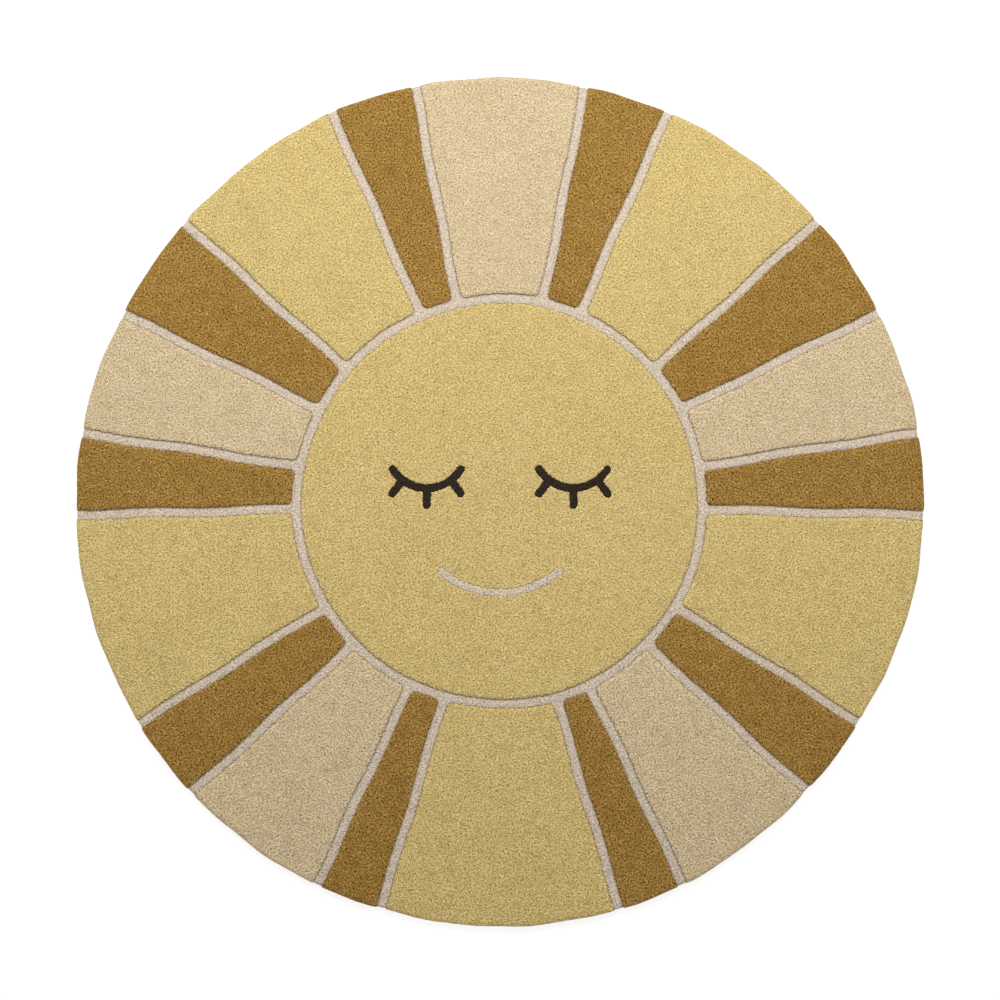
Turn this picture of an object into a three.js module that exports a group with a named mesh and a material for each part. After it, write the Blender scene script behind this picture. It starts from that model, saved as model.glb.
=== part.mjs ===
import * as THREE from "three";

// A round tufted rug that shows a sun: a middle disc, a ring round it, and rays out to the edge.
// It lies flat on z = 0 with its middle on the Z axis. Lengths are in millimetres.
// A turn is an angle in degrees, clockwise from the top of the rug (+Y), seen from above.

// Driving dimensions.
const RUG_RADIUS = 550;
const RUG_HEIGHT = 14;
const RING_RADIUS = 263;
const FIELD_CORNER = 6;

// Hand-made unevenness.
const PILE_SWELL = 0.4;
const LINE_WOBBLE = 1.1;
const LINE_WOBBLE_LENGTH = 150;
const LINE_WOBBLE_STEP = 1.9;
const EDGE_NOTCH = 1.5;

// Waves of the rug's edge and of the ring: how far they go in and out, how often and from where.
const EDGE_WAVES = [
  { reach: 1.5, waves: 2, start: 0.6 },
  { reach: 1.1, waves: 4, start: 2.1 },
  { reach: 0.9, waves: 6, start: 4.0 },
  { reach: 0.5, waves: 14, start: 1.2 },
];
const RING_WAVES = [
  { reach: 1.0, waves: 3, start: 1.0 },
  { reach: 0.7, waves: 7, start: 0.5 },
];

// Lines between the rays on the right half: where each leaves the ring, and how far it has
// swung from there when it meets the edge. The left half mirrors them.
const HALF_LINES = [
  { turn: 12, lean: -0.5 },
  { turn: 23, lean: 0.4 },
  { turn: 49, lean: -0.6 },
  { turn: 63, lean: 0.5 },
  { turn: 80, lean: 0.7 },
  { turn: 92, lean: -0.3 },
  { turn: 121, lean: 0.6 },
  { turn: 134, lean: -0.7 },
  { turn: 154, lean: 0.5 },
  { turn: 164, lean: -0.4 },
];

// Section across a sheared line, from its floor up to the full pile: distance out from its
// centre line, and how far the pile lies below the top there.
const LINE_SECTION = [
  { out: 5, drop: 3 },
  { out: 6.5, drop: 1.4 },
  { out: 10, drop: 0.2 },
];
const FIELD_EDGE = LINE_SECTION[1].out;

// Section of the rug's edge, from the flat top down to the underside: distance in from the
// outermost pile, and height as a share of the top's height there.
const EDGE_SECTION = [
  { inward: 14, level: 1 },
  { inward: 6, level: 0.97 },
  { inward: 2, level: 0.85 },
  { inward: 0, level: 0.5 },
  { inward: 0.8, level: 0.15 },
  { inward: 3, level: 0 },
];

// Plain stretches: shares of the way from the middle to the ring, and from ring to edge.
const DISC_SHARES = [0.35, 0.7];
const RAY_SHARES = [0.17, 0.33, 0.5, 0.67, 0.83];
const COLUMN_SPAN = 9;

// A large triangle in the middle of the underside, which the rug rests on.
const REST_TRIANGLE_RADIUS = 200;

const radians = THREE.MathUtils.degToRad;

function waveSum(waves, turn) {
  const angle = radians(turn);
  return waves.reduce((sum, w) => sum + w.reach * Math.sin(w.waves * angle + w.start), 0);
}

function edgeRadius(turn) {
  return RUG_RADIUS + waveSum(EDGE_WAVES, turn);
}

function ringRadius(turn) {
  return RING_RADIUS + waveSum(RING_WAVES, turn);
}

// All lines in clockwise order, the right half's first and then the mirrored left half's.
function allLines() {
  const mirrored = HALF_LINES.map((line) => ({ turn: 360 - line.turn, lean: -line.lean }));
  return [...HALF_LINES, ...mirrored.reverse()];
}

// The turn at which a line's centre lies at a radius: it leans evenly and wobbles sideways.
function lineTurn(line, index, radius) {
  const share = (radius - RING_RADIUS) / (RUG_RADIUS - RING_RADIUS);
  const phase = (2 * Math.PI * radius) / LINE_WOBBLE_LENGTH + LINE_WOBBLE_STEP * index;
  const sideways = LINE_WOBBLE * Math.sin(phase);
  return line.turn + line.lean * share + THREE.MathUtils.radToDeg(sideways / radius);
}

// How much wider a line is near the ring, where the fields' corners are rounded off.
function cornerFlare(radius) {
  const left = FIELD_CORNER - Math.max(0, radius - RING_RADIUS - FIELD_EDGE);
  if (left <= 0) {
    return 0;
  }
  return FIELD_CORNER - Math.sqrt(FIELD_CORNER ** 2 - left ** 2);
}

// Columns run from the middle to the edge. Each line has its section's columns on both sides,
// and the field after it has a few more, spread evenly up to the next line.
function makeColumns() {
  const lines = allLines();
  const columns = [];
  lines.forEach((line, index) => {
    const next = (index + 1) % lines.length;
    const before = LINE_SECTION.map(({ out, drop }) => ({ line, index, out: -out, drop }));
    const after = LINE_SECTION.map(({ out, drop }) => ({ line, index, out, drop }));
    columns.push(...before.reverse(), ...after);
    const span = (lines[next].turn - line.turn + 360) % 360;
    const count = Math.round(span / COLUMN_SPAN);
    const crown = LINE_SECTION.at(-1);
    const left = { line, index, out: crown.out };
    const right = { line: lines[next], index: next, out: -crown.out };
    for (let k = 1; k <= count; k += 1) {
      columns.push({ left, right, share: k / (count + 1), drop: 0 });
    }
  });
  return columns;
}

function columnTurn(column, radius) {
  if (column.left) {
    const from = columnTurn(column.left, radius);
    const to = columnTurn(column.right, radius);
    return from + column.share * ((to - from + 360) % 360);
  }
  const outside = Math.max(radius, RING_RADIUS);
  const out = column.out + Math.sign(column.out) * cornerFlare(outside);
  return lineTurn(column.line, column.index, outside) + THREE.MathUtils.radToDeg(out / outside);
}

// Rows run round the rug. Each gives its radius at a turn, and how far it lies below the top.
function makeRows() {
  const crown = LINE_SECTION.at(-1).out;
  const inner = LINE_SECTION.map(({ out, drop }) => ({ at: (t) => ringRadius(t) - out, drop }));
  const outer = LINE_SECTION.map(({ out, drop }) => ({ at: (t) => ringRadius(t) + out, drop }));
  const disc = DISC_SHARES.map((share) => ({ at: (t) => share * ringRadius(t), drop: 0 }));
  const cornerEnd = FIELD_EDGE + FIELD_CORNER;
  const plainEnd = EDGE_SECTION[0].inward;
  const rays = [0, ...RAY_SHARES].map((share) => ({
    at: (t) => {
      const from = ringRadius(t) + Math.max(cornerEnd, crown);
      return from + share * (edgeRadius(t) - plainEnd - from);
    },
    drop: 0,
  }));
  const edge = EDGE_SECTION.map(({ inward, level }) => ({
    at: (t) => edgeRadius(t) - inward,
    drop: 0,
    level,
  }));
  const within = [...disc, ...inner.reverse()].map((row) => ({ ...row, within: true }));
  return [...within, ...outer, ...rays, ...edge];
}

// Height of the full pile at a place: level, with a gentle hand-sheared swell.
function pileTop(x, y) {
  const swell = Math.sin(x / 71 + 0.9) * Math.sin(y / 83 + 2.2) + 0.5 * Math.sin((x + y) / 37);
  return RUG_HEIGHT - PILE_SWELL + (PILE_SWELL * swell) / 1.5;
}

function pilePoint(row, column) {
  const turn = columnTurn(column, row.at(columnTurn(column, RUG_RADIUS)));
  const drop = row.within ? row.drop : Math.max(row.drop, column.drop);
  const notch = row.level === undefined ? 0 : (EDGE_NOTCH * drop) / LINE_SECTION[0].drop;
  const radius = row.at(turn) - notch;
  const x = radius * Math.sin(radians(turn));
  const y = radius * Math.cos(radians(turn));
  const level = row.level ?? 1;
  return new THREE.Vector3(x, y, level * (pileTop(x, y) - drop));
}

// The underside: a flat face between the lowest row and a large triangle in its middle.
function undersideTriangles(rim, firstInner) {
  const inner = [0, 1, 2].map((corner) => {
    const angle = radians(15 + 120 * corner);
    const radius = REST_TRIANGLE_RADIUS;
    return new THREE.Vector2(radius * Math.sin(angle), radius * Math.cos(angle));
  });
  const outline = rim.map(({ point }) => new THREE.Vector2(point.x, point.y));
  const places = [...outline, ...inner];
  const numbers = [...rim.map(({ number }) => number), ...inner.map((_, k) => firstInner + k)];
  const triangles = THREE.ShapeUtils.triangulateShape(outline, [inner]);
  const middle = [0, 1, 2].map((corner) => outline.length + corner);
  const downward = [...triangles, middle].map(([a, b, c]) => {
    const turnsLeft = THREE.ShapeUtils.area([places[a], places[b], places[c]]) > 0;
    return turnsLeft ? [a, c, b] : [a, b, c];
  });
  return { inner, index: downward.flat().map((corner) => numbers[corner]) };
}

function makeRugGeometry() {
  const rows = makeRows();
  const columns = makeColumns();
  const points = [new THREE.Vector3(0, 0, pileTop(0, 0))];
  rows.forEach((row) => points.push(...columns.map((column) => pilePoint(row, column))));
  const at = (row, column) => 1 + row * columns.length + (column % columns.length);
  const index = [];
  for (let j = 0; j < columns.length; j += 1) {
    index.push(0, at(0, j + 1), at(0, j));
    for (let i = 0; i + 1 < rows.length; i += 1) {
      index.push(at(i, j), at(i, j + 1), at(i + 1, j + 1));
      index.push(at(i, j), at(i + 1, j + 1), at(i + 1, j));
    }
  }
  const lowest = rows.length - 1;
  const rim = columns.map((_, j) => ({ point: points[at(lowest, j)], number: at(lowest, j) }));
  const underside = undersideTriangles(rim, points.length);
  points.push(...underside.inner.map(({ x, y }) => new THREE.Vector3(x, y, 0)));
  const geometry = new THREE.BufferGeometry().setFromPoints(points);
  geometry.setIndex([...index, ...underside.index]);
  geometry.computeVertexNormals();
  return geometry;
}

function makeRug() {
  const wool = new THREE.MeshStandardMaterial({ color: 0xc8b078, roughness: 1, metalness: 0 });
  const rug = new THREE.Mesh(makeRugGeometry(), wool);
  rug.name = "rug";
  return rug;
}

const group = new THREE.Group();
group.add(makeRug());

export default group;
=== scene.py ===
"""Looks of a round, hand-tufted wool rug that shows a sun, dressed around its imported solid.

The rug lies flat on z = 0 with its middle on the Z axis. Its pile is thousands of cut tufts in
five yarns: their tips stand close together with pits between them. The pale lines are sheared
lower than the fields. The pile is planned flat and then rolled down over the rug's rounded edge.
A turn is an angle in degrees, clockwise from the top of the rug (+Y), seen from above.
Lengths are in metres.
"""

import logging
import math
from collections.abc import Callable, Iterable
from dataclasses import dataclass, field
from enum import Enum

import bmesh
import bpy
import numpy as np
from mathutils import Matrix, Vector
from mathutils.geometry import delaunay_2d_cdt
from mathutils.kdtree import KDTree


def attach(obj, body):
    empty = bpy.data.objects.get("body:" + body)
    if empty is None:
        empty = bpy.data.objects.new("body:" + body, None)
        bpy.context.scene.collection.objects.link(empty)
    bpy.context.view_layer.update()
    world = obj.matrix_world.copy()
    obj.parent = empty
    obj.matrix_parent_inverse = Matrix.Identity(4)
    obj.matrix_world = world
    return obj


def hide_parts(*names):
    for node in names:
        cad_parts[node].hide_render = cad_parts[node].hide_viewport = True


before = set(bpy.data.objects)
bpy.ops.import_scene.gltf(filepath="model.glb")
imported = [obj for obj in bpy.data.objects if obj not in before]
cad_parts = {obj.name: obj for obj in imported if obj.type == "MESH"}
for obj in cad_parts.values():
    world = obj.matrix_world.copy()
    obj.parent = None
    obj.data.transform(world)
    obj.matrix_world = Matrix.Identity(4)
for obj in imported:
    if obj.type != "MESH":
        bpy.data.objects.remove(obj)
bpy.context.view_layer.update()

Array = np.ndarray
Colour = tuple[float, float, float]
Mesh = tuple[Array, Array]
Height = Callable[[Array, Array], Array]

NODE = "rug"
BODY = "root"
PHOTO_PIXELS = 1000
MILLIMETRE = 0.001

log = logging.getLogger(NODE)


class Yarn(Enum):
    """The rug's yarns, by the record's material slots."""

    YELLOW = "pile_yellow"
    MUSTARD = "pile_mustard"
    CREAM = "pile_cream"
    PALE = "pile_pale"
    BROWN = "pile_brown"


def turn_of(x: Array, y: Array) -> Array:
    """Gives the turn of places seen from above, in degrees."""
    return np.degrees(np.arctan2(x, y))


def polar(turn: Array, radius: Array) -> tuple[Array, Array]:
    """Gives the places at turns and radii, seen from above."""
    angle = np.radians(turn)
    return radius * np.sin(angle), radius * np.cos(angle)


@dataclass(frozen=True)
class Wave:
    """One wave of a hand-made outline.

    Attributes:
        reach: How far it goes in and out.
        waves: How often it repeats round the rug.
        start: Where it begins, in radians.
    """

    reach: float
    waves: int
    start: float


def wave_sum(waves: Iterable[Wave], turn: Array) -> Array:
    """Adds up waves round the rug.

    Args:
        waves: The waves of one outline.
        turn: Turns at which the sum is wanted.

    Returns:
        How far out the outline lies from its plain circle at each turn.
    """
    angle = np.radians(turn)
    return sum(wave.reach * np.sin(wave.waves * angle + wave.start) for wave in waves)


@dataclass(frozen=True)
class Line:
    """A sheared line between two rays: its turn at the ring, and its swing out to the edge."""

    turn: float
    lean: float


@dataclass(frozen=True)
class SunLayout:
    """Plan of the rug, as the maker draws it on the cloth.

    Attributes:
        rug_radius: Mean radius of the rug's edge.
        ring_radius: Mean radius of the ring's centre line.
        field_edge: Distance from a line's centre to the fields beside it.
        field_corner: Radius of the fields' inner corners.
        line_wobble: How far the hand wanders sideways along a line.
        line_wobble_length: Length of one such wander.
        line_wobble_step: Phase that each line starts further on, in radians.
        edge_waves: Unevenness of the rug's edge.
        ring_waves: Unevenness of the ring.
        half_lines: Lines of the right half, clockwise. The left half mirrors them.
        ray_yarns: Yarns of the rays in clockwise order, over and over.
    """

    rug_radius: float = 0.55
    ring_radius: float = 0.263
    field_edge: float = 0.0065
    field_corner: float = 0.006
    line_wobble: float = 0.0011
    line_wobble_length: float = 0.15
    line_wobble_step: float = 1.9
    edge_waves: tuple[Wave, ...] = (
        Wave(0.0015, 2, 0.6),
        Wave(0.0011, 4, 2.1),
        Wave(0.0009, 6, 4.0),
        Wave(0.0005, 14, 1.2),
        Wave(0.0005, 29, 0.4),
        Wave(0.0004, 47, 2.0),
    )
    ring_waves: tuple[Wave, ...] = (Wave(0.001, 3, 1.0), Wave(0.0007, 7, 0.5))
    half_lines: tuple[Line, ...] = (
        Line(12, -0.5),
        Line(23, 0.4),
        Line(49, -0.6),
        Line(63, 0.5),
        Line(80, 0.7),
        Line(92, -0.3),
        Line(121, 0.6),
        Line(134, -0.7),
        Line(154, 0.5),
        Line(164, -0.4),
    )
    ray_yarns: tuple[Yarn, ...] = (Yarn.MUSTARD, Yarn.YELLOW, Yarn.MUSTARD, Yarn.CREAM)

    @property
    def lines(self) -> tuple[Line, ...]:
        """All lines in clockwise order."""
        mirrored = tuple(Line(360 - line.turn, -line.lean) for line in reversed(self.half_lines))
        return self.half_lines + mirrored

    def ray_yarn(self, ray: int) -> Yarn:
        """Gives the yarn of the ray after a line."""
        return self.ray_yarns[ray % len(self.ray_yarns)]

    def edge(self, turn: Array) -> Array:
        """Gives the radius of the rug's edge at turns."""
        return self.rug_radius + wave_sum(self.edge_waves, turn)

    def ring(self, turn: Array) -> Array:
        """Gives the radius of the ring's centre line at turns."""
        return self.ring_radius + wave_sum(self.ring_waves, turn)

    def line_turn(self, index: int, radius: Array) -> Array:
        """Gives the turn of a line's centre.

        Args:
            index: The line's place in clockwise order.
            radius: Radii at which the turn is wanted.

        Returns:
            The turn at each radius, leaning evenly and wandering a little.
        """
        line = self.lines[index]
        share = (radius - self.ring_radius) / (self.rug_radius - self.ring_radius)
        phase = 2 * np.pi * radius / self.line_wobble_length + self.line_wobble_step * index
        return line.turn + line.lean * share + np.degrees(self.line_wobble * np.sin(phase) / radius)

    def half_width(self, beyond: Array) -> Array:
        """Gives a line's half width at distances out from the ring's centre line."""
        left = np.maximum(0, self.field_corner - np.maximum(0, beyond - self.field_edge))
        return self.field_edge + self.field_corner - np.sqrt(self.field_corner**2 - left**2)

    def line_side(self, index: int, side: int, reach: Array) -> tuple[Array, Array]:
        """Gives places along a side of a line.

        Args:
            index: The line's place in clockwise order.
            side: 1 for the clockwise side, -1 for the other.
            reach: Distances out from the field's inner end.

        Returns:
            The places across and up the rug.
        """
        radius = self.ring(self.lines[index].turn) + self.field_edge + reach
        width = self.half_width(self.field_edge + reach)
        return polar(self.line_turn(index, radius) + side * np.degrees(width / radius), radius)

    def ray_outline(self, ray: int, reach: Array) -> Array:
        """Draws a ray's outline: in along a line, round the ring, out along the next and back.

        Args:
            ray: The ray's index.
            reach: Distances out from its inner end, rising past the rug's edge.

        Returns:
            The points of the closed outline, counterclockwise.
        """
        start = np.stack(self.line_side(ray, 1, reach[::-1]), 1)
        end = np.stack(self.line_side((ray + 1) % len(self.lines), -1, reach), 1)
        first = turn_of(*start[-1])
        turn = first + np.linspace(0, 1, len(reach)) * ((turn_of(*end[0]) - first) % 360)
        inner = np.stack(polar(turn, self.ring(turn) + self.field_edge), 1)
        last = turn_of(*end[-1])
        turn = last - np.linspace(0, 1, len(reach)) * ((last - turn_of(*start[0])) % 360)
        outer = np.stack(polar(turn, np.full_like(turn, np.linalg.norm(end[-1]))), 1)
        return np.concatenate([start, inner[1:-1], end, outer[1:-1]])

    def nearest_line(self, x: Array, y: Array) -> Array:
        """Gives the distance of places from the centre of the line nearest to them."""
        turn = turn_of(x, y)
        radius = np.maximum(np.hypot(x, y), self.ring_radius)
        away = np.stack([turn - self.line_turn(k, radius) for k in range(len(self.lines))])
        return np.radians(np.abs((away + 180) % 360 - 180).min(0)) * radius

    def side(self, x: Array, y: Array) -> Array:
        """Measures how far in places lie from the fields' sides, below zero in the lines."""
        beyond = np.hypot(x, y) - self.ring(turn_of(x, y))
        from_ring = np.abs(beyond) - self.field_edge
        from_line = self.nearest_line(x, y) - self.half_width(beyond)
        return np.where(beyond < 0, from_ring, np.minimum(from_ring, from_line))

    def border(self, x: Array, y: Array) -> Array:
        """Measures the true distance of places to the fields' edges.

        Args:
            x: Places across the rug.
            y: Places up the rug.

        Returns:
            The distance to the nearest field edge, below zero in the sheared lines.
        """
        step = 0.1 * MILLIMETRE
        away = self.side(x, y)
        steepness = np.hypot(self.side(x + step, y) - away, self.side(x, y + step) - away) / step
        return away / np.clip(steepness, 1, 8)


@dataclass(frozen=True)
class Stroke:
    """A stroke drawn round a centre: an arc where its radius stays, a dash where its turn does.

    Attributes:
        centre: Point that it is drawn round.
        turns: Turn of its start and end about that point.
        radii: Radius of its start and end about that point.
        width: Width of the stroke.
        steps: Points along each side and round each end.
    """

    centre: tuple[float, float]
    turns: tuple[float, float]
    radii: tuple[float, float]
    width: float
    steps: int = 24

    def rim(self) -> Array:
        """Draws the stroke's outline, with round ends."""
        share = np.linspace(0, 1, self.steps)
        sides = [np.stack(self.outline(share, 0), 1), np.stack(self.outline(share[::-1], 1), 1)]
        points = []
        for side, end in zip(sides, (1.0, 0.0)):
            centre = np.array(self.along(end))
            out_x, out_y = side[-1] - centre
            angle = np.linspace(0, np.pi, self.steps)[1:-1]
            cap_x = centre[0] + out_x * np.cos(angle) - out_y * np.sin(angle)
            cap_y = centre[1] + out_x * np.sin(angle) + out_y * np.cos(angle)
            points += [side, np.stack([cap_x, cap_y], 1)]
        return np.concatenate(points)

    def along(self, share: Array) -> tuple[Array, Array]:
        """Gives the places on its centre line at shares of its length."""
        x, y = polar(np.interp(share, (0, 1), self.turns), np.interp(share, (0, 1), self.radii))
        return self.centre[0] + x, self.centre[1] + y

    def outline(self, share: Array, across: Array) -> tuple[Array, Array]:
        """Gives places on the stroke.

        Args:
            share: Shares of its length.
            across: Shares of its width, from 0 on one side to 1 on the other.

        Returns:
            The places across and up the rug.
        """
        step = 0.01
        x, y = self.along(share)
        ahead_x, ahead_y = self.along(np.minimum(share + step, 1))
        behind_x, behind_y = self.along(np.maximum(share - step, 0))
        way_x, way_y = ahead_x - behind_x, ahead_y - behind_y
        side = (across - 0.5) * self.width / np.hypot(way_x, way_y)
        return x - way_y * side, y + way_x * side

    def border(self, x: Array, y: Array) -> Array:
        """Gives the distance of places to the stroke's rim, below zero inside it."""
        points = np.stack(self.along(np.linspace(0, 1, self.steps)), 1)
        start, end = points[:-1], points[1:]
        way = end - start
        place = np.stack([x, y], 1)[:, None] - start
        share = np.clip((place * way).sum(2) / (way * way).sum(1), 0, 1)
        away = np.linalg.norm(place - share[:, :, None] * way, axis=2).min(1)
        return away - self.width / 2


@dataclass(frozen=True)
class SleepingFace:
    """A plain sleeping face in the middle disc: closed lids with lashes, and a wide smile.

    Attributes:
        eye_gap: Distance between the eyes' centres.
        eye_height: Height of the centre that the lids are drawn round.
        lid_radius: Radius of a closed lid.
        lid_span: Turn from end to end of a lid.
        lash_turns: Turns of the lashes under each lid.
        lash_length: Length of a lash.
        eye_width: Width of the brown strokes.
        smile_height: Height of the centre that the smile is drawn round.
        smile_radius: Radius of the smile.
        smile_span: Turn from end to end of the smile.
        smile_width: Width of the pale stroke.
        reach: Radius of the part of the disc that holds the face.
    """

    eye_gap: float = 0.19
    eye_height: float = 0.07
    lid_radius: float = 0.052
    lid_span: float = 116
    lash_turns: tuple[float, ...] = (143, 180, 217)
    lash_length: float = 0.022
    eye_width: float = 0.0105
    smile_height: float = 0.0
    smile_radius: float = 0.118
    smile_span: float = 80
    smile_width: float = 0.0095
    reach: float = 0.16

    def eyes(self) -> list[Stroke]:
        """Gives the strokes of both eyes."""
        strokes = []
        for side in (-1, 1):
            centre = (side * self.eye_gap / 2, self.eye_height)
            half = self.lid_span / 2
            radii = (self.lid_radius, self.lid_radius)
            strokes.append(Stroke(centre, (180 - half, 180 + half), radii, self.eye_width))
            for turn in self.lash_turns:
                tip = self.lid_radius + self.lash_length
                strokes.append(Stroke(centre, (turn, turn), (self.lid_radius, tip), self.eye_width))
        return strokes

    def smile(self) -> list[Stroke]:
        """Gives the one stroke of the smile."""
        half = self.smile_span / 2
        radii = (self.smile_radius, self.smile_radius)
        centre = (0.0, self.smile_height)
        return [Stroke(centre, (180 - half, 180 + half), radii, self.smile_width)]

    @staticmethod
    def border(strokes: list[Stroke], x: Array, y: Array) -> Array:
        """Gives the distance of places to the rim of the nearest of some strokes."""
        return np.min([stroke.border(x, y) for stroke in strokes], axis=0)


@dataclass(frozen=True)
class PileSection:
    """Heights of the sheared pile.

    Attributes:
        height: Height of the full pile above the floor.
        swell: How far the hand-sheared top swells.
        line_drop: How far the middle of a pale line lies below the full pile.
        incision: How much deeper its sides are cut, beside the fields.
        incision_width: Width over which its sides slope down to there.
        clip_drop: How far a field's very edge lies below the full pile.
        clip_width: Width of that clipped edge.
        shoulder: Radius of the rug's rounded edge.
        skirt: How far the pile goes down below that rounding.
        notch: Share of a line's depth that shows as a notch in the rug's edge.
    """

    height: float = 0.014
    swell: float = 0.0004
    line_drop: float = 0.0027
    incision: float = 0.0006
    incision_width: float = 0.0065
    clip_drop: float = 0.001
    clip_width: float = 0.005
    shoulder: float = 0.006
    skirt: float = 0.0045
    notch: float = 0.45

    @property
    def unrolled(self) -> float:
        """How far the flat plan reaches past the rug's edge."""
        return self.shoulder * (math.pi / 2 - 1) + self.skirt

    def full(self, x: Array, y: Array) -> Array:
        """Gives the height of the full pile at places, as in the solid."""
        x, y = x / MILLIMETRE, y / MILLIMETRE
        swell = np.sin(x / 71 + 0.9) * np.sin(y / 83 + 2.2) + 0.5 * np.sin((x + y) / 37)
        return self.height - self.swell + self.swell * swell / 1.5

    def field_drop(self, border: Array) -> Array:
        """Gives how far a field's top lies below the full pile, by the distance to its edge."""
        return self.clip_drop * np.clip(1 - border / self.clip_width, 0, 1) ** 2

    def lines_drop(self, border: Array) -> Array:
        """Gives how far a line's top lies below the full pile, by the distance to the fields."""
        beside = np.clip(1 + border / self.incision_width, 0, 1)
        return self.line_drop + self.incision * beside**2

    def roll(self, plan: Array, edge: Array, sunk: Array) -> Array:
        """Rolls the flat plan down over the rug's rounded edge.

        Args:
            plan: Places on the flat plan.
            edge: Radius of the rug's edge at each.
            sunk: How far each lies below the full pile's skin.

        Returns:
            The places on the rug, with their heights.
        """
        out = plan / np.maximum(np.linalg.norm(plan, axis=1, keepdims=True), MILLIMETRE)
        radius = np.linalg.norm(plan, axis=1)
        past = np.maximum(0, radius - edge + self.shoulder)
        bend = np.minimum(past / self.shoulder, np.pi / 2)
        fall = np.maximum(0, past - self.shoulder * np.pi / 2)
        reach = radius - past + (self.shoulder - self.notch * sunk) * np.sin(bend)
        drop = self.shoulder * (1 - np.cos(bend)) + fall + sunk * np.cos(bend)
        placed = np.where(past[:, None] > 0, out * reach[:, None], plan)
        return np.column_stack([placed, self.full(*placed.T) - drop])


class Part(Enum):
    """What a stretch of pile shows, besides the rays, which go by their index."""

    LINES = -2
    DISC = -1
    EYES = -3
    SMILE = -4


@dataclass(frozen=True)
class FlatMesh:
    """Triangles on the flat plan.

    Attributes:
        places: Their corners.
        triangles: Their corners' numbers, counterclockwise.
        shown: What each shows, as a ray's index or a Part's value.
    """

    places: Array
    triangles: Array
    shown: Array


@dataclass(frozen=True)
class PilePlan:
    """The whole pile on the flat plan.

    Attributes:
        top: Triangles between the tufts' tips.
        lift: How far each tip stands above the sheared top.
        tone: Brightness of each tuft, about -1 to 1.
        pits: The pit in each triangle.
        pit_tone: Brightness of each pit, about -1 to 1, on the other side of the tufts round it.
        depth: How deep each pit is, from 0 to 1, which also darkens it as painted shade.
        base: The parts' outlines alone, filled with as few triangles as they take.
    """

    top: FlatMesh
    lift: Array
    tone: Array
    pits: Array
    pit_tone: Array
    depth: Array
    base: FlatMesh


def evenly(outline: Array, spacing: float) -> Array:
    """Spreads points evenly along a closed outline."""
    closed = np.concatenate([outline, outline[:1]])
    run = np.append(0, np.cumsum(np.linalg.norm(np.diff(closed, axis=0), axis=1)))
    count = round(run[-1] / spacing)
    wanted = np.arange(count) * run[-1] / count
    return np.stack([np.interp(wanted, run, closed[:, axis]) for axis in (0, 1)], 1)


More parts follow.
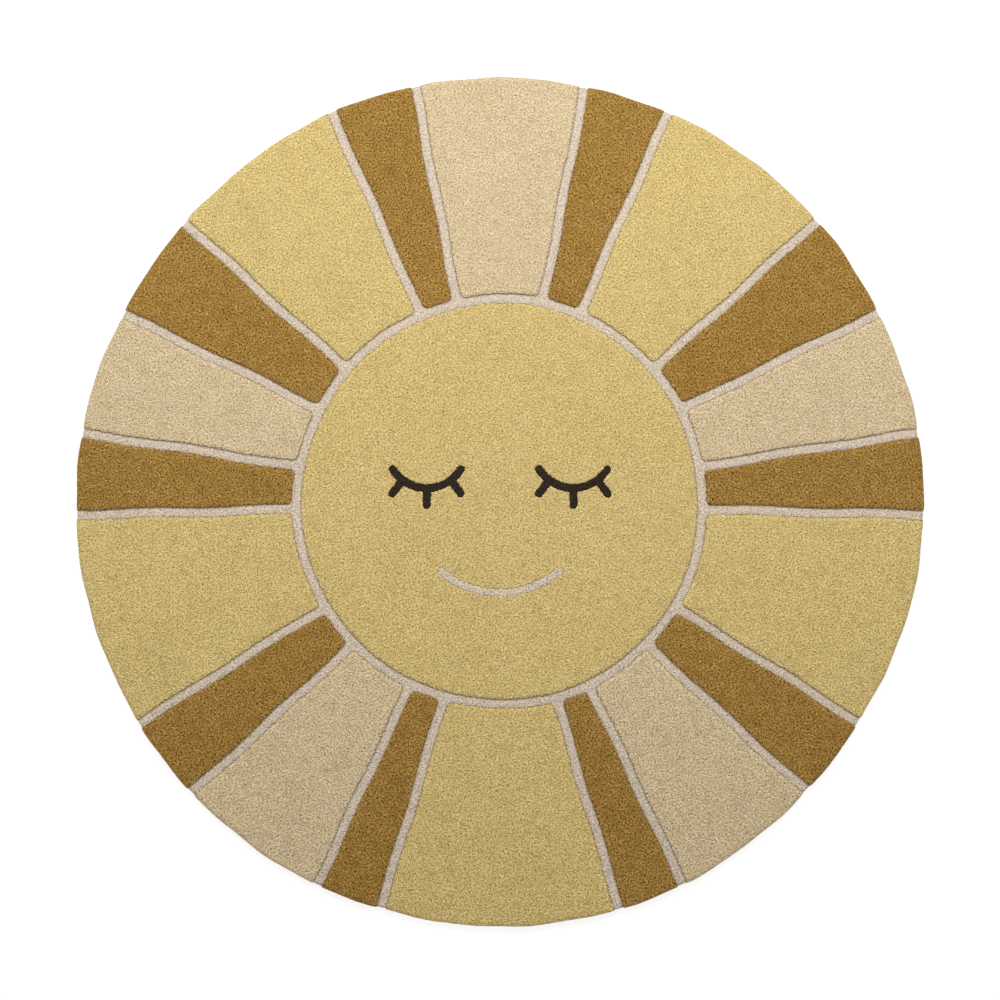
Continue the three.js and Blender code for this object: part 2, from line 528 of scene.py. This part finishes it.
@dataclass(frozen=True)
class Tufting:
    """Sets the tufts in rows over the whole rug, as a tufting gun does.

    Attributes:
        layout: Plan of the rug.
        section: Heights of the sheared pile.
        face: The face in the middle disc.
        pitch: Distance between tufts.
        jitter: How far a tuft strays from its place by itself, as a share of the pitch.
        wander: How far the rows stray with their neighbours, as a share of the pitch.
        wander_passes: How often the rows' wander is evened out among neighbours.
        outline_pitch: Distance between tufts along an outline, as a share of the pitch.
        outline_jitter: How far the tufts of an outline stray.
        clearance: Distance kept between an outline and other tufts, as a share of the pitch.
        lift_spread: How far tips stand above or below the sheared top.
        pit_stray: How far a pit strays from the middle of its triangle, as a share.
        pit_bias: How much rarer deep pits are than shallow ones.
        pit_evenness: How far deep pits keep off each other.
        tone_spread: How far tufts and pits differ in tone.
        tone_contrast: How far a pit's tone lies on the other side of the tufts' round it.
        seed: Start of the random draws.
    """

    layout: SunLayout
    section: PileSection
    face: SleepingFace
    pitch: float = 0.0028
    jitter: float = 0.4
    wander: float = 0.1
    wander_passes: int = 3
    outline_pitch: float = 0.9
    outline_jitter: float = 0.0004
    clearance: float = 0.6
    lift_spread: float = 0.00015
    pit_stray: float = 0.12
    pit_bias: float = 2.6
    pit_evenness: float = 1.8
    tone_spread: float = 0.5
    tone_contrast: float = 2.0
    seed: int = 11

    def rows(self, draw: np.random.Generator) -> Array:
        """Sets out the tufts' places in staggered rows."""
        row_pitch = self.pitch * math.sqrt(3) / 2
        reach = self.layout.rug_radius + 2 * self.section.height
        across = np.arange(-int(reach / self.pitch), int(reach / self.pitch) + 1)
        up = np.arange(-int(reach / row_pitch), int(reach / row_pitch) + 1)
        column, row = np.meshgrid(across, up)
        places = np.stack([(column + 0.5 * (row % 2)) * self.pitch, row * row_pitch])
        stray = draw.normal(0, 1, places.shape)
        for _ in range(self.wander_passes):
            beside = np.roll(stray, 1, 1) + np.roll(stray, -1, 1)
            stray = (stray + beside + np.roll(stray, 1, 2) + np.roll(stray, -1, 2)) / 5
        stray *= self.wander / stray.std()
        stray += draw.uniform(-self.jitter, self.jitter, stray.shape)
        return (places + stray * self.pitch).reshape(2, -1).T

    def flat(self, places: Array) -> Array:
        """Gives where places show their part: those past the rug's shoulder as on it."""
        last = self.layout.edge(turn_of(*places.T)) - self.section.shoulder / 2
        return places * np.minimum(1, last / np.linalg.norm(places, axis=1))[:, None]

    def clear(self, places: Array) -> Array:
        """Tells which places keep clear of all outlines."""
        gap = self.clearance * self.pitch
        last = self.layout.edge(turn_of(*places.T)) + self.section.unrolled - gap
        flat = self.flat(places).T
        strokes = self.face.eyes() + self.face.smile()
        kept = np.linalg.norm(places, axis=1) < last
        kept &= np.abs(self.layout.border(*flat)) > gap
        near = np.linalg.norm(places, axis=1) < self.face.reach
        kept[near] &= np.abs(self.face.border(strokes, *flat[:, near])) > gap
        return kept

    def outlines(self, draw: np.random.Generator) -> list[tuple[int, Array]]:
        """Draws all outlines.

        Args:
            draw: Source of random numbers.

        Returns:
            Closed outlines, counterclockwise, each with what it shows. The later ones lie over
            the earlier ones.
        """
        turn = np.linspace(360, 0, 4000, endpoint=False)
        edge = self.layout.edge(turn) + self.section.unrolled
        disc = self.layout.ring(turn) - self.layout.field_edge
        length = self.layout.rug_radius - self.layout.ring_radius + self.section.height
        reach = length * np.linspace(0, 1, 1000) ** 2
        drawn = [
            (Part.LINES.value, np.stack(polar(turn, edge), 1)),
            (Part.DISC.value, np.stack(polar(turn, disc), 1)),
        ]
        rays = range(len(self.layout.lines))
        drawn += [(ray, self.layout.ray_outline(ray, reach)) for ray in rays]
        drawn += [(Part.EYES.value, stroke.rim()) for stroke in self.face.eyes()]
        drawn += [(Part.SMILE.value, stroke.rim()) for stroke in self.face.smile()]
        spread = [(shown, evenly(line, self.outline_pitch * self.pitch)) for shown, line in drawn]
        stray = self.outline_jitter
        return [(shown, line + draw.normal(0, stray, line.shape)) for shown, line in spread]

    @staticmethod
    def lay_out(outlines: list[tuple[int, Array]], inner: Array) -> FlatMesh:
        """Joins places to triangles that keep to the outlines.

        Args:
            outlines: Closed outlines with what they show, the whole rug's first.
            inner: Places off the outlines.

        Returns:
            The triangles inside the first outline.
        """
        lines = [line for _, line in outlines]
        firsts = np.cumsum([0] + [len(line) for line in lines])
        loops = [list(range(first, first + len(line))) for first, line in zip(firsts, lines)]
        corners = [Vector(place) for place in np.concatenate([*lines, inner])]
        found = delaunay_2d_cdt(corners, [], loops, 1, 1e-7)
        places = np.array(found[0])
        within = [max(owners) if 0 in owners else -1 for owners in found[5]]
        kept = np.array(within) >= 0
        shown = np.array([what for what, _ in outlines])[np.array(within)[kept]]
        triangles = np.array(found[2])[kept]
        sides = places[triangles[:, 1:]] - places[triangles[:, :1]]
        backward = np.cross(sides[:, 0], sides[:, 1]) < 0
        triangles[backward] = triangles[backward][:, ::-1]
        return FlatMesh(places, triangles, shown)

    def pit_depths(self, triangles: Array, tips: int, draw: np.random.Generator) -> Array:
        """Draws the depths of the pits, so that deep and shallow ones lie side by side.

        Args:
            triangles: The triangles round the pits.
            tips: How many tips they join.
            draw: Source of random numbers.

        Returns:
            The depth of each pit, from 0 to 1.
        """
        depth = draw.uniform(0, 1, len(triangles)) ** self.pit_bias
        corners = triangles.ravel()
        around = np.bincount(corners, minlength=tips).clip(1)
        near_tip = np.bincount(corners, np.repeat(depth, 3), minlength=tips) / around
        nearby = near_tip[triangles].mean(1)
        return np.clip(depth - self.pit_evenness * (nearby - depth.mean()), 0, 1)

    def plan(self) -> PilePlan:
        """Plans the whole pile."""
        draw = np.random.default_rng(self.seed)
        outlines = self.outlines(draw)
        places = self.rows(draw)
        top = self.lay_out(outlines, places[self.clear(places)])
        base = self.lay_out(outlines, np.zeros((0, 2)))
        tips, count = len(top.places), len(top.triangles)
        weights = 1 / 3 + draw.uniform(-self.pit_stray, self.pit_stray, (count, 3))
        weights /= weights.sum(1, keepdims=True)
        tone = draw.normal(0, self.tone_spread, tips)
        around = tone[top.triangles].mean(1)
        pit_tone = draw.normal(0, self.tone_spread, count) - self.tone_contrast * around
        return PilePlan(
            top=top,
            lift=draw.normal(0, self.lift_spread, tips),
            tone=np.clip(tone, -1, 1),
            pits=(top.places[top.triangles] * weights[:, :, None]).sum(1),
            pit_tone=np.clip(pit_tone, -1, 1),
            depth=self.pit_depths(top.triangles, tips, draw),
            base=base,
        )


def arrays_of(bm: bmesh.types.BMesh) -> Mesh:
    """Turns a bmesh into arrays of vertices and triangles, and frees it."""
    bmesh.ops.triangulate(bm, faces=bm.faces[:])
    bm.verts.index_update()
    vertices = np.array([vertex.co for vertex in bm.verts])
    triangles = np.array([[vertex.index for vertex in face.verts] for face in bm.faces])
    bm.free()
    return vertices, triangles


def raise_slab(bm: bmesh.types.BMesh, low: Height, high: Height) -> None:
    """Makes a flat region a closed slab.

    Args:
        bm: The flat region.
        low: Gives the height of its underside at places.
        high: Gives the height of its top at places.
    """
    grown = bmesh.ops.extrude_face_region(bm, geom=bm.faces[:], use_keep_orig=True)["geom"]
    tops = {item for item in grown if isinstance(item, bmesh.types.BMVert)}
    places = np.array([vertex.co for vertex in bm.verts])
    lows, highs = low(*places.T[:2]), high(*places.T[:2])
    for vertex, bottom, top in zip(bm.verts, lows, highs):
        vertex.co.z = top if vertex in tops else bottom
    bmesh.ops.recalc_face_normals(bm, faces=bm.faces[:])


class NodeBench:
    """Adds nodes to one shader tree and links them."""

    def __init__(self, tree: bpy.types.NodeTree) -> None:
        """Starts on a tree."""
        self.tree = tree

    def add(self, kind: str, **settings: object) -> bpy.types.Node:
        """Adds a node.

        Args:
            kind: Its type, without the word ShaderNode.
            settings: Its properties.

        Returns:
            The new node.
        """
        node = self.tree.nodes.new(f"ShaderNode{kind}")
        for name, value in settings.items():
            setattr(node, name, value)
        return node

    def feed(self, node: bpy.types.Node, **inputs: object) -> bpy.types.Node:
        """Sets or links a node's inputs by name, with _ for a blank or a number for an index."""
        for name, value in inputs.items():
            key = int(name[1:]) if name[1:].isdigit() else name.replace("_", " ")
            if isinstance(value, bpy.types.NodeSocket):
                self.tree.links.new(value, node.inputs[key])
            else:
                node.inputs[key].default_value = value
        return node

    def math(self, operation: str, first: object, second: object) -> bpy.types.NodeSocket:
        """Adds a Math node on two numbers or sockets and gives its output."""
        return self.feed(self.add("Math", operation=operation), i0=first, i1=second).outputs[0]

    def noise(self, place: bpy.types.NodeSocket, scale: float, detail: float) -> bpy.types.NodeSocket:
        """Adds a noise on places and gives it as a value about zero, from -1 to 1."""
        noise = self.add("TexNoise", noise_dimensions="3D")
        self.feed(noise, Vector=place, Scale=scale, Detail=detail)
        spread = self.add("MapRange")
        self.feed(spread, Value=noise.outputs[0], From_Min=0.25, From_Max=0.75, To_Min=-1.0)
        return spread.outputs[0]


class WoolPattern:
    """The shader group that all yarns share: tufts, worked rows, soft clouds and fibres, and painted
    shade in the pits between the tufts.

    Attributes:
        NAME: Name of the group.
        CLOUD_SCALE: Scale of the noise behind the soft clouds.
        ROW_STRETCH: Scale of the noise behind the worked rows, along each axis.
        FIBRE_SCALE: Scale of the noise behind the fibres.
        DARKEST: Least share of their colour that the painted shade leaves in the deepest pits.
        WARM_SHADE: How far warmth changes each channel's share of the painted shade in the pits.
    """

    NAME = "wool pattern"
    CLOUD_SCALE = 11.0
    ROW_STRETCH = (55.0, 300.0, 55.0)
    FIBRE_SCALE = 520.0
    DARKEST = 0.1
    WARM_SHADE = {"X": -0.4, "Y": 0.0, "Z": 0.8}

    @classmethod
    def group(cls) -> bpy.types.NodeTree:
        """Gives the group, made the first time it is asked for."""
        return bpy.data.node_groups.get(cls.NAME) or cls.make()

    @classmethod
    def make(cls) -> bpy.types.NodeTree:
        """Makes the group.

        Returns:
            A tree that takes a place, a tuft's tone, the depth in it, two colours and how far
            each effect goes, and gives a colour, darkened deeper in the pits as painted shade, and a
            height for bumps.
        """
        tree = bpy.data.node_groups.new(cls.NAME, "ShaderNodeTree")
        sockets = (
            ("Place", "NodeSocketVector"),
            ("Tone", "NodeSocketFloat"),
            ("Depth", "NodeSocketFloat"),
            ("Shade", "NodeSocketColor"),
            ("Light", "NodeSocketColor"),
            ("Pit", "NodeSocketFloat"),
            ("Warmth", "NodeSocketFloat"),
            ("Tuft Spread", "NodeSocketFloat"),
            ("Row Spread", "NodeSocketFloat"),
            ("Cloud Spread", "NodeSocketFloat"),
            ("Fibre Spread", "NodeSocketFloat"),
        )
        for name, kind in sockets:
            tree.interface.new_socket(name, in_out="INPUT", socket_type=kind)
        tree.interface.new_socket("Color", in_out="OUTPUT", socket_type="NodeSocketColor")
        tree.interface.new_socket("Height", in_out="OUTPUT", socket_type="NodeSocketFloat")
        bench = NodeBench(tree)
        given = tree.nodes.new("NodeGroupInput").outputs
        stretched = bench.feed(bench.add("Mapping"), Vector=given["Place"], Scale=cls.ROW_STRETCH)
        fibre = bench.noise(given["Place"], cls.FIBRE_SCALE, 2.0)
        effects = (
            (given["Tone"], given["Tuft Spread"]),
            (bench.noise(stretched.outputs[0], 1.0, 1.0), given["Row Spread"]),
            (bench.noise(given["Place"], cls.CLOUD_SCALE, 2.0), given["Cloud Spread"]),
            (fibre, given["Fibre Spread"]),
        )
        total: object = 0.5
        for value, spread in effects:
            total = bench.math("ADD", total, bench.math("MULTIPLY", value, spread))
        mixed = bench.add("Mix", data_type="RGBA", clamp_factor=True)
        tree.links.new(total, mixed.inputs["Factor"])
        tree.links.new(given["Shade"], mixed.inputs[6])
        tree.links.new(given["Light"], mixed.inputs[7])
        # Painted shade: the colour darkens with the depth in the pits, down to DARKEST, and grows
        # warmer as it darkens.
        lit = bench.math("SUBTRACT", 1.0, bench.math("MULTIPLY", given["Depth"], given["Pit"]))
        lit = bench.math("MAXIMUM", lit, cls.DARKEST)
        warm = bench.add("CombineXYZ")
        for axis, change in cls.WARM_SHADE.items():
            power = bench.math("ADD", 1.0, bench.math("MULTIPLY", given["Warmth"], change))
            bench.feed(warm, **{axis: bench.math("POWER", lit, power)})
        painted_shade_colour = bench.add("VectorMath", operation="MULTIPLY")
        bench.feed(painted_shade_colour, i0=mixed.outputs[2], i1=warm.outputs[0])
        result = tree.nodes.new("NodeGroupOutput").inputs
        tree.links.new(painted_shade_colour.outputs[0], result["Color"])
        tree.links.new(fibre, result["Height"])
        return tree


def new_material(name: str) -> tuple[bpy.types.Material, NodeBench, bpy.types.Node]:
    """Starts a material with a bare Principled shader, and gives it with a bench and the shader."""
    material = bpy.data.materials.new(name)
    material.use_nodes = True
    bench = NodeBench(material.node_tree)
    return material, bench, material.node_tree.nodes["Principled BSDF"]


@dataclass(frozen=True)
class WoolFinish:
    """Cut wool pile of one yarn.

    Attributes:
        shade: Colour of its darkest tufts, linear.
        light: Colour of its brightest tufts, linear.
        pit: How far painted shade darkens the pits between the tufts.
        warmth: How much warmer that painted shade in the pits is.
        tuft_spread: How far tufts differ in tone.
        row_spread: How far the worked rows show.
        cloud_spread: How far soft patches show.
        fibre_spread: How far single fibres show.
        roughness: Roughness of the wool.
        sheen: Weight of its soft sheen.
        bump: Strength of the fibres' bumps.
        bump_height: Height of the fibres' bumps.
    """

    shade: Colour
    light: Colour
    pit: float = 0.76
    warmth: float = 0.8
    tuft_spread: float = 0.25
    row_spread: float = 0.04
    cloud_spread: float = 0.05
    fibre_spread: float = 0.6
    roughness: float = 0.95
    sheen: float = 0.05
    bump: float = 0.8
    bump_height: float = 0.0008

    def material(self, name: str) -> bpy.types.Material:
        """Makes the yarn's material.

        Args:
            name: Name of the material.

        Returns:
            The material, which reads Object coordinates and the tufts' own tone and depth, and darkens
            deeper places with painted shade.
        """
        material, bench, shader = new_material(name)
        place = bench.add("TexCoord").outputs["Object"]
        tone = bench.add("Attribute", attribute_name="tone").outputs["Fac"]
        depth = bench.add("Attribute", attribute_name="depth").outputs["Fac"]
        wool = bench.add("Group", node_tree=WoolPattern.group())
        bench.feed(wool, Place=place, Tone=tone, Depth=depth, Pit=self.pit, Warmth=self.warmth)
        bench.feed(wool, Shade=(*self.shade, 1), Light=(*self.light, 1))
        bench.feed(wool, Tuft_Spread=self.tuft_spread, Row_Spread=self.row_spread)
        bench.feed(wool, Cloud_Spread=self.cloud_spread, Fibre_Spread=self.fibre_spread)
        bump = bench.add("Bump")
        bench.feed(bump, Strength=self.bump, Distance=self.bump_height)
        bench.feed(bump, Height=wool.outputs["Height"])
        bench.feed(shader, Base_Color=wool.outputs["Color"], Normal=bump.outputs[0])
        bench.feed(shader, Roughness=self.roughness, Sheen_Weight=self.sheen, Sheen_Roughness=0.5)
        shader.inputs["Specular IOR Level"].default_value = 0.15
        return material


# Third number: painted shade in the pits; fourth: how warm that painted shade is.
WOOLS = {
    Yarn.YELLOW: WoolFinish((0.490, 0.366, 0.123), (0.765, 0.615, 0.285), 0.75, 1.0),
    Yarn.MUSTARD: WoolFinish((0.224, 0.118, 0.013), (0.494, 0.318, 0.096), 2.1, 1.1, 0.3),
    Yarn.CREAM: WoolFinish((0.514, 0.400, 0.235), (0.757, 0.629, 0.415)),
    Yarn.PALE: WoolFinish((0.54, 0.445, 0.34), (0.735, 0.63, 0.51), 0.35, 0.4),
    Yarn.BROWN: WoolFinish((0.014, 0.009, 0.006), (0.044, 0.029, 0.019)),
}


@dataclass(frozen=True)
class CanvasFinish:
    """Plain cotton canvas glued to the rug's back.

    Attributes:
        thread: Colour of the threads, linear.
        hollow_shade: Colour between the threads, linear: painted shade in the weave's hollows.
        threads_per_metre: Threads across a metre, each way.
        roughness: Roughness of the canvas.
        bump: Strength of the weave's bumps.
        bump_height: Height of the weave's bumps.
    """

    thread: Colour = (0.58, 0.50, 0.37)
    hollow_shade: Colour = (0.30, 0.25, 0.17)
    threads_per_metre: float = 700.0
    roughness: float = 0.92
    bump: float = 0.5
    bump_height: float = 0.0005

    def material(self, name: str) -> bpy.types.Material:
        """Makes the canvas material, a plain weave on Object coordinates, with painted shade between
        the threads.
        """
        material, bench, shader = new_material(name)
        place = bench.add("TexCoord").outputs["Object"]
        weave: object = 0.0
        for direction in ("X", "Y"):
            wave = bench.add("TexWave", wave_type="BANDS", bands_direction=direction)
            bench.feed(wave, Vector=place, Scale=self.threads_per_metre / 20, Distortion=1.5)
            weave = bench.math("ADD", weave, bench.math("MULTIPLY", wave.outputs["Fac"], 0.5))
        # The weave mixes the threads' colour with painted shade between them.
        mixed = bench.add("Mix", data_type="RGBA", clamp_factor=True)
        material.node_tree.links.new(weave, mixed.inputs["Factor"])
        mixed.inputs[6].default_value = (*self.hollow_shade, 1)
        mixed.inputs[7].default_value = (*self.thread, 1)
        bump = bench.feed(bench.add("Bump"), Strength=self.bump, Distance=self.bump_height)
        bench.feed(bump, Height=weave)
        bench.feed(shader, Base_Color=mixed.outputs[2], Normal=bump.outputs[0])
        bench.feed(shader, Roughness=self.roughness)
        return material


def make_object(
    name: str, mesh: Mesh, smooth: Array, plan: Array, **attributes: Array
) -> bpy.types.Object:
    """Makes an object from arrays.

    Args:
        name: Name of the object.
        mesh: Its vertices and triangles.
        smooth: Whether each triangle is shaded smooth.
        plan: Each vertex's place on the flat plan, for the bake map.
        attributes: A number for each vertex, by the attribute's name.

    Returns:
        The object at the origin.
    """
    vertices, triangles = mesh
    data = bpy.data.meshes.new(name)
    data.vertices.add(len(vertices))
    data.vertices.foreach_set("co", vertices.astype(np.float32).ravel())
    data.loops.add(triangles.size)
    data.loops.foreach_set("vertex_index", triangles.astype(np.int32).ravel())
    data.polygons.add(len(triangles))
    data.polygons.foreach_set("loop_start", np.arange(0, triangles.size, 3, dtype=np.int32))
    data.update(calc_edges=True)
    data.polygons.foreach_set("use_smooth", smooth)
    for label, numbers in attributes.items():
        values = data.attributes.new(label, "FLOAT", "POINT")
        values.data.foreach_set("value", numbers.astype(np.float32))
    on_map = (plan[triangles.ravel()] - plan.min(0)) / np.ptp(plan, axis=0).max()
    layer = data.uv_layers.new(name="OFBake")
    layer.uv.foreach_set("vector", on_map.astype(np.float32).ravel())
    piece = bpy.data.objects.new(name, data)
    bpy.context.collection.objects.link(piece)
    return piece


@dataclass(frozen=True)
class Pile:
    """Turns the flat plan into pile, one part of the sun at a time.

    Attributes:
        plan: The whole pile on the flat plan.
        tufting: How the tufts are set, on the rug's layout and section.
        shallowest: How far the shallowest pits lie below the tips.
        deepest: How far the deepest pits lie below the tips.
        underside: Height of the pile's underside, in the backing.
    """

    plan: PilePlan
    tufting: Tufting
    shallowest: float = 0.0002
    deepest: float = 0.0022
    underside: float = 0.002

    def raised(self, places: Array, part: int, below: Array) -> Array:
        """Puts places of the flat plan on the rug.

        Args:
            places: Places of the flat plan.
            part: What they show.
            below: How far each lies below the sheared top.

        Returns:
            The places with their heights.
        """
        section, layout = self.tufting.section, self.tufting.layout
        border = layout.border(*self.tufting.flat(places).T)
        sheared = section.lines_drop if part == Part.LINES.value else section.field_drop
        return section.roll(places, layout.edge(turn_of(*places.T)), sheared(border) + below)

    def base(self, part: int, tips: Array) -> Array:
        """Finds the triangles that close a part from below.

        Args:
            part: What the part shows.
            tips: The part's tips on the flat plan.

        Returns:
            The triangles, as numbers of the tips above their corners.
        """
        tree = KDTree(len(tips))
        for number, place in enumerate(tips):
            tree.insert((*place, 0), number)
        tree.balance()
        base = self.plan.base
        used, triangles = np.unique(base.triangles[base.shown == part], return_inverse=True)
        above = np.array([tree.find((*place, 0))[1] for place in base.places[used]])
        return above[triangles.reshape(-1, 3)]

    def build(self, name: str, part: int, slot: str, material: bpy.types.Material) -> bpy.types.Object:
        """Builds and dresses the pile of one part as a closed shell.

        Args:
            name: Name of the piece.
            part: What the part shows, as a ray's index or a Part's value.
            slot: Slot of its yarn.
            material: Material of its yarn.

        Returns:
            The finished object, on its body.
        """
        plan = self.plan
        mine = plan.top.shown == part
        used, triangles = np.unique(plan.top.triangles[mine], return_inverse=True)
        triangles = triangles.reshape(-1, 3)
        tips, pits, depth = plan.top.places[used], plan.pits[mine], plan.depth[mine]
        below = self.shallowest + (self.deepest - self.shallowest) * depth
        tops = self.raised(tips, part, -plan.lift[used])
        starts, ends = outer_edges(triangles)
        feet = np.unique(starts)
        foot = np.zeros(len(tips), int)
        foot[feet] = len(tips) + len(pits) + np.arange(len(feet))
        pit = len(tips) + np.arange(len(pits))
        low = tops[feet] * (1, 1, 0) + (0, 0, self.underside)
        closing = foot[self.base(part, tips)][:, ::-1]
        walls = [(foot[starts], foot[ends], ends), (foot[starts], ends, starts)]
        crown = [(triangles[:, k], triangles[:, (k + 1) % 3], pit) for k in range(3)]
        faces = [closing, *(np.column_stack(corners) for corners in (*walls, *crown))]
        piece = make_object(
            name,
            (np.concatenate([tops, self.raised(pits, part, below), low]), np.concatenate(faces)),
            smooth=np.repeat([False, True], [len(closing) + 2 * len(starts), 3 * len(pits)]),
            plan=np.concatenate([tips, pits, tips[feet]]),
            tone=np.concatenate([plan.tone[used], plan.pit_tone[mine], np.zeros(len(feet))]),
            # Depth 1 at the feet paints the walls and underside in the darkest painted shade.
            depth=np.concatenate([np.zeros(len(tips)), depth, np.ones(len(feet))]),
        )
        dress(piece, slot, material)
        return piece


def outer_edges(triangles: Array) -> tuple[Array, Array]:
    """Finds the edges that only one triangle has, as their starts and ends in its order."""
    starts = triangles.ravel()
    ends = np.roll(triangles, -1, 1).ravel()
    count = triangles.max() + 1
    lone = ~np.isin(starts * count + ends, ends * count + starts)
    return starts[lone], ends[lone]


def dress(piece: bpy.types.Object, slot: str, material: bpy.types.Material) -> None:
    """Gives a piece its material and body, hides the rug's imported part and reports the piece with
    its slot.
    """
    piece.data.materials.append(material)
    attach(piece, BODY)
    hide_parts(NODE)
    log.info("%s: %d triangles, %s", piece.name, len(piece.data.polygons), slot)


@dataclass
class Backing:
    """The tufted cloth and the canvas glued under it: one flat round sheet.

    Attributes:
        layout: Plan of the rug.
        thickness: Thickness of cloth, glue and canvas.
        inset: How far it stays inside the pile's edge.
        points: Points of its outline.
        name: Name of the piece.
        slot: Slot of its cloth.
    """

    layout: SunLayout
    thickness: float = 0.0024
    inset: float = 0.003
    points: int = 240
    name: str = "backing_cloth"
    slot: str = "backing"

    def build(self) -> bpy.types.Object:
        """Builds and dresses the sheet."""
        bm = bmesh.new()
        bmesh.ops.create_circle(bm, cap_ends=True, segments=self.points, radius=1)
        for vertex in bm.verts:
            turn = turn_of(vertex.co.x, vertex.co.y)
            vertex.co = (*polar(turn, self.layout.edge(turn) - self.inset), 0)
        raise_slab(bm, lambda x, y: 0 * x, lambda x, y: 0 * x + self.thickness)
        mesh = arrays_of(bm)
        piece = make_object(self.name, mesh, np.zeros(len(mesh[1]), bool), mesh[0][:, :2])
        dress(piece, self.slot, CanvasFinish().material("backing canvas"))
        return piece


@dataclass
class SunRug:
    """The whole rug: backing, pale lines, disc, face and rays."""

    layout: SunLayout = field(default_factory=SunLayout)
    section: PileSection = field(default_factory=PileSection)
    face: SleepingFace = field(default_factory=SleepingFace)

    def build(self) -> None:
        """Builds the pieces in the order in which they lie on each other."""
        tufting = Tufting(self.layout, self.section, self.face)
        pile = Pile(tufting.plan(), tufting)
        wools = {yarn: finish.material(yarn.value) for yarn, finish in WOOLS.items()}
        parts = [
            ("pale_lines", Part.LINES.value, Yarn.PALE),
            ("disc_pile", Part.DISC.value, Yarn.YELLOW),
            ("eyes_pile", Part.EYES.value, Yarn.BROWN),
            ("mouth_pile", Part.SMILE.value, Yarn.PALE),
        ]
        for ray in range(len(self.layout.lines)):
            yarn = self.layout.ray_yarn(ray)
            parts.append((f"ray_{ray + 1:02d}_{yarn.name.lower()}", ray, yarn))
        backing = Backing(self.layout).build()
        pieces = [pile.build(name, part, yarn.value, wools[yarn]) for name, part, yarn in parts]


@dataclass
class Studio:
    """A plain pale floor, soft lights and the camera straight above the rug.

    Attributes:
        field_width: Width of floor that the picture shows.
        middle: Pixel of the photograph at the rug's middle.
        lens: Focal length, in the camera's own millimetres.
        floor_colour: Colour of the floor, linear.
        floor_glow: Light that the floor gives off itself, which keeps it pale to its corners.
        floor_size: Width of the floor.
        world_strength: Strength of the sky, which lights the rug evenly.
        key_power: Power of the large light beyond the top of the rug, in watts.
        key_width: Width of that light.
        key_depth: Depth of that light.
        key_place: Place of that light, which faces the rug's middle.
    """

    field_width: float = 1.302
    middle: tuple[float, float] = (500.0, 502.0)
    lens: float = 85.0
    floor_colour: Colour = (0.3, 0.3, 0.3)
    floor_glow: float = 0.75
    floor_size: float = 12.0
    world_strength: float = 0.682
    key_power: float = 28.8
    key_width: float = 3.0
    key_depth: float = 1.0
    key_place: tuple[float, float, float] = (0.0, 0.95, 1.2)

    def floor(self) -> None:
        """Lays the floor just under the rug."""
        bm = bmesh.new()
        bmesh.ops.create_grid(bm, x_segments=1, y_segments=1, size=self.floor_size / 2)
        bmesh.ops.translate(bm, verts=bm.verts[:], vec=(0, 0, -0.1 * MILLIMETRE))
        mesh = arrays_of(bm)
        floor = make_object("studio_floor", mesh, np.zeros(len(mesh[1]), bool), mesh[0][:, :2])
        material, bench, shader = new_material("studio floor")
        bench.feed(shader, Base_Color=(*self.floor_colour, 1), Roughness=0.9)
        bench.feed(shader, Emission_Color=(1, 1, 1, 1), Emission_Strength=self.floor_glow)
        floor.data.materials.append(material)

    def lights(self) -> None:
        """Sets a soft sky and one large soft light beyond the top of the rug."""
        world = bpy.data.worlds.new("studio sky")
        world.use_nodes = True
        sky = world.node_tree.nodes["Background"].inputs
        sky["Color"].default_value = (1.0, 0.995, 0.985, 1)
        sky["Strength"].default_value = self.world_strength
        bpy.context.scene.world = world
        data = bpy.data.lights.new("key", "AREA")
        data.energy = self.key_power
        data.shape = "RECTANGLE"
        data.size = self.key_width
        data.size_y = self.key_depth
        key = bpy.data.objects.new("key", data)
        key.location = self.key_place
        key.rotation_mode = "QUATERNION"
        key.rotation_quaternion = (-key.location).to_track_quat("-Z", "Y")
        bpy.context.collection.objects.link(key)

    def camera(self) -> None:
        """Puts the camera straight above, with the rug where the photograph has it."""
        data = bpy.data.cameras.new("camera")
        data.lens = self.lens
        camera = bpy.data.objects.new("camera", data)
        pixel = self.field_width / PHOTO_PIXELS
        right = (PHOTO_PIXELS / 2 - self.middle[0]) * pixel
        up = (self.middle[1] - PHOTO_PIXELS / 2) * pixel
        away = self.field_width * self.lens / data.sensor_width
        camera.location = (right, up, away)
        bpy.context.collection.objects.link(camera)
        bpy.context.scene.camera = camera

    def build(self) -> None:
        """Sets up the studio."""
        bpy.context.scene.view_settings.view_transform = "Standard"
        self.floor()
        self.lights()
        self.camera()


def main() -> None:
    """Builds the studio and the rug."""
    logging.basicConfig(level=logging.INFO, format="%(message)s")
    Studio().build()
    SunRug().build()


if __name__ == "__main__":
    main()
